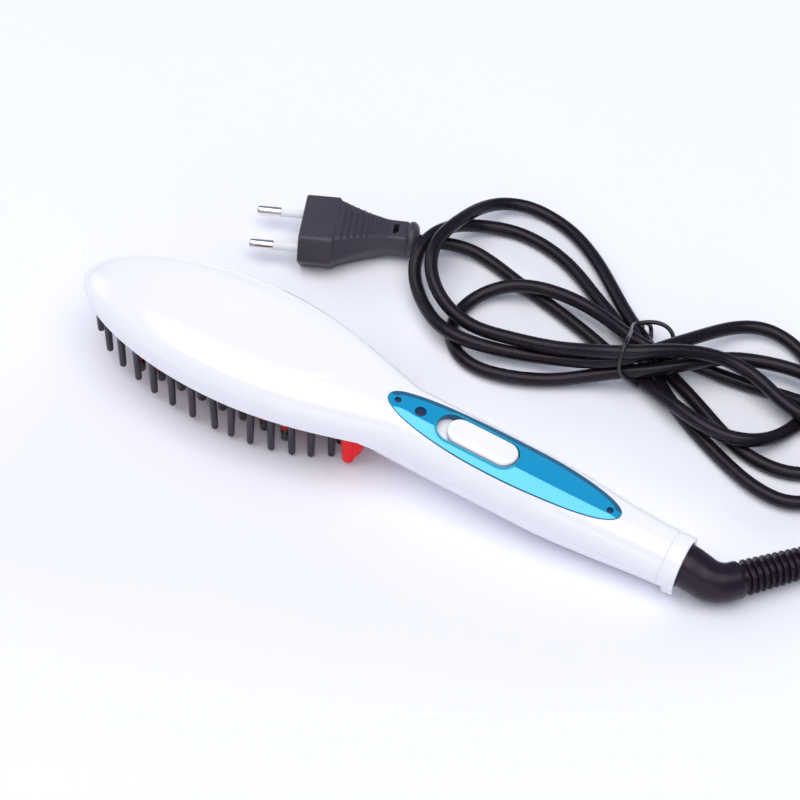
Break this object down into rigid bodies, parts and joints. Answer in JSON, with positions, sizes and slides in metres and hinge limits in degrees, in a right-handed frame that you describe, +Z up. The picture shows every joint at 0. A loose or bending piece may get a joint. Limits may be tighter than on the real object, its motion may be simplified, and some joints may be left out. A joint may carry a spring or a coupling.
{
  "type": "electric hair straightening brush",
  "caption": "White paddle-shaped heated straightening brush on its bristles, blue switch panel, swivel cord boot, black cord tied in a bundle, two-pin plug.",
  "frame": {"origin": "on the surface that the brush lies on, under the middle of the brush's own bounding box, without the cord, its boot, the tie and the plug", "axes": "+X from the head towards the cord end of the handle, +Z up, +Y to the side where the tied cord lies; the bristles point down"},
  "size_m": [0.297, 0.1647, 0.0414],
  "materials": {
    "white_body": "gloss",
    "blue_panel": "gloss",
    "navy_trim": "gloss",
    "charcoal_frame": "satin",
    "bristle_grey": "satin",
    "red_heater": "satin",
    "black_caps": "gloss",
    "red_plastic": "gloss",
    "ceramic_white": "matt",
    "mica": "matt",
    "steel": "satin",
    "board_green": "satin",
    "dark_parts": "satin",
    "amber": "gloss",
    "copper_alloy": "satin",
    "lead_red": "satin",
    "lead_brown": "satin",
    "cord_black": "satin",
    "plug_charcoal": "matt",
    "pin_chrome": "polished",
    "sleeve_white": "satin"
  },
  "bodies": {
    "brush": {"back_shell": "white_body", "front_shell": "white_body", "end_collar": "white_body", "control_panel": "blue_panel", "panel_screws": "navy_trim", "indicator_lens": "navy_trim", "bristle_frame": "charcoal_frame", "guard_bristles": "bristle_grey", "heating_plate": "red_heater", "heater_teeth": "red_heater", "tooth_caps": "black_caps", "neck_studs": "red_plastic", "ceramic_heater": "ceramic_white", "insulating_sheet": "mica", "heater_clamp": "steel", "plate_screws": "steel", "thermal_fuse": "steel", "thermistor": "amber", "circuit_board": "board_green", "board_parts": "dark_parts", "slide_switch": "dark_parts", "indicator_led": "amber", "heater_leads": "lead_red", "mains_leads": "lead_brown", "shell_screws": "steel", "swivel_socket": "ceramic_white", "contact_block": "mica", "contact_springs": "copper_alloy", "cord_lead": "cord_black", "cord_hank": "cord_black", "cord_tail": "cord_black", "cord_tie": "cord_black", "plug_body": "plug_charcoal", "plug_pins": "pin_chrome", "pin_sleeves": "sleeve_white"},
    "switch": {"slide_knob": "white_body"},
    "swivel": {"cord_boot": "cord_black", "slip_rings": "copper_alloy"}
  },
  "joints": [
    {"name": "switch_slide", "type": "slide", "parent": "brush", "child": "switch", "axis": [-0.9939, 0, 0.1101], "range_m": [0, 0.004]},
    {"name": "cord_swivel", "type": "hinge", "parent": "brush", "child": "swivel", "pos_m": [0.12197, 0, 0.01109], "axis": [0.9988, 0, -0.049], "range_deg": [0, 90], "deforming": ["cord_lead"]}
  ]
}
